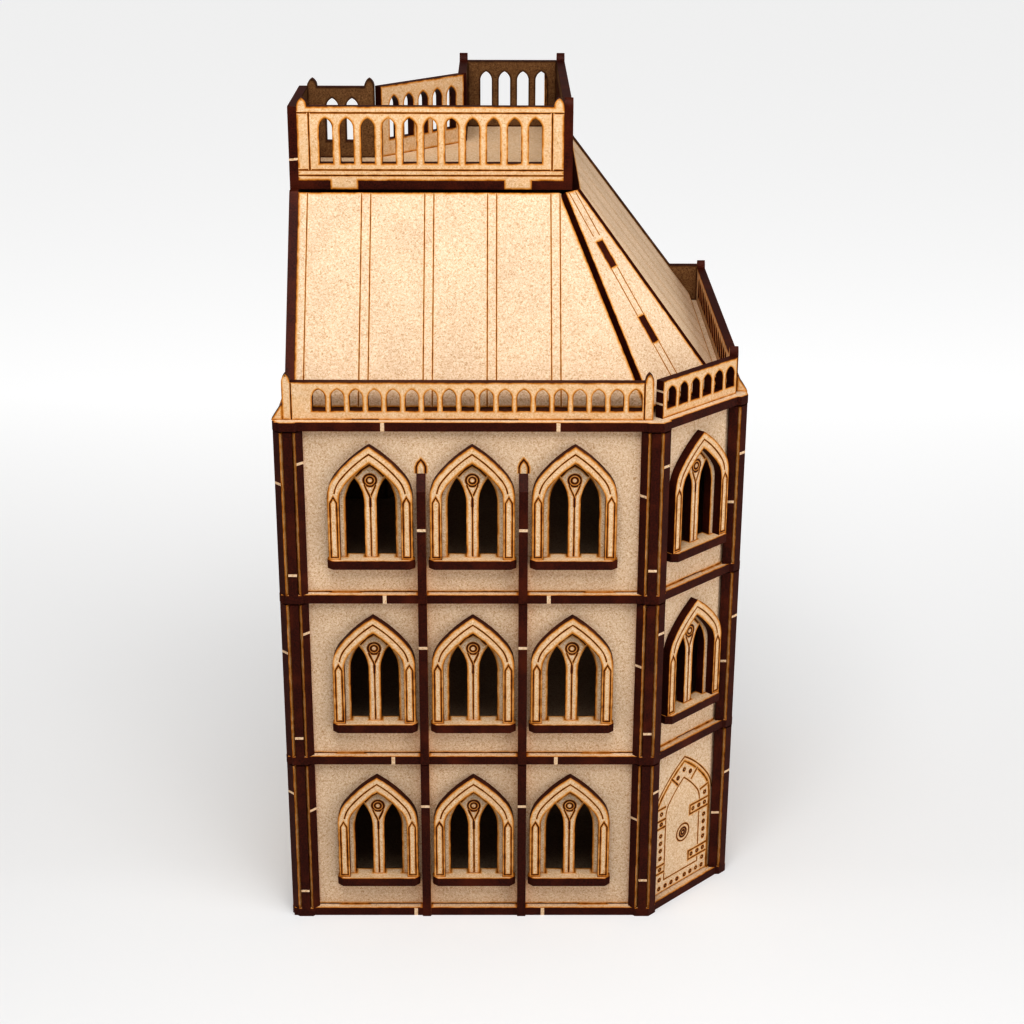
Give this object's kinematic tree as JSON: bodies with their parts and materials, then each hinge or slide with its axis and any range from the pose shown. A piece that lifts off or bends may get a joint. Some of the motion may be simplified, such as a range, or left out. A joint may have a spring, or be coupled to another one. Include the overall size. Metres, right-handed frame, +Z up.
{
  "type": "miniature terrain ruin",
  "caption": "Gothic corner building for tabletop games in laser-cut board: lift-off storeys with arched windows, a corner door, and a mansard roof with a railed deck.",
  "frame": {"origin": "middle of the bounding box at the underside of the ground plate", "axes": "+Z up the building, +X along the front wall towards the door corner, -Y out of the front"},
  "size_m": [0.1822, 0.1818, 0.3232],
  "materials": {
    "mdf_board": "raw laser-cut medium-density fibreboard, matt, charred edges",
    "mdf_pale": "raw laser-cut medium-density fibreboard, paler face, scorched outline",
    "mdf_charred": "laser-charred edge of medium-density fibreboard, dark brown, satin"
  },
  "bodies": {
    "ground_storey": {"ground_floor_plate": "mdf_board", "ground_front_wall": "mdf_board", "ground_corner_wall": "mdf_board", "ground_right_wall": "mdf_board", "ground_rear_wall": "mdf_board", "ground_left_wall": "mdf_board", "ground_back_walls": "mdf_board", "ground_turret_strips": "mdf_charred", "ground_pilasters": "mdf_charred", "ground_window_frames": "mdf_pale", "ground_window_sills": "mdf_charred"},
    "middle_storey": {"middle_floor_plate": "mdf_board", "middle_locating_plate": "mdf_board", "middle_front_wall": "mdf_board", "middle_corner_wall": "mdf_board", "middle_right_wall": "mdf_board", "middle_rear_wall": "mdf_board", "middle_left_wall": "mdf_board", "middle_back_walls": "mdf_board", "middle_turret_strips": "mdf_charred", "middle_pilasters": "mdf_charred", "middle_window_frames": "mdf_pale", "middle_window_sills": "mdf_charred"},
    "top_storey": {"top_floor_plate": "mdf_board", "top_locating_plate": "mdf_board", "top_front_wall": "mdf_board", "top_corner_wall": "mdf_board", "top_right_wall": "mdf_board", "top_rear_wall": "mdf_board", "top_left_wall": "mdf_board", "top_back_walls": "mdf_board", "top_turret_strips": "mdf_charred", "top_pilasters": "mdf_charred", "top_window_frames": "mdf_pale", "top_window_sills": "mdf_charred"},
    "roof_module": {"cornice_plate": "mdf_board", "roof_locating_plate": "mdf_board", "front_parapet": "mdf_pale", "corner_parapet": "mdf_pale", "right_parapet": "mdf_pale", "parapet_brackets": "mdf_pale", "left_gable": "mdf_board", "rear_gable": "mdf_board", "roof_back_walls": "mdf_board", "roof_rib": "mdf_board", "front_slope": "mdf_pale", "corner_slope": "mdf_pale", "right_slope": "mdf_pale", "deck_plate": "mdf_board", "deck_front_rail": "mdf_pale", "deck_left_rail": "mdf_pale", "deck_right_rail": "mdf_pale", "deck_rear_rail": "mdf_pale", "deck_back_rail": "mdf_pale", "deck_slanted_rail": "mdf_pale", "deck_wing_rail": "mdf_pale"},
    "door": {"door_leaf": "mdf_pale"}
  },
  "joints": [
    {"name": "middle_storey_lift", "type": "slide", "parent": "ground_storey", "child": "middle_storey", "axis": [0, 0, 1], "range_m": [0, 0.09]},
    {"name": "top_storey_lift", "type": "slide", "parent": "middle_storey", "child": "top_storey", "axis": [0, 0, 1], "range_m": [0, 0.09]},
    {"name": "roof_lift", "type": "slide", "parent": "top_storey", "child": "roof_module", "axis": [0, 0, 1], "range_m": [0, 0.09]},
    {"name": "door_pull", "type": "slide", "parent": "ground_storey", "child": "door", "axis": [0.7071, -0.7071, 0], "range_m": [0, 0.04]}
  ]
}
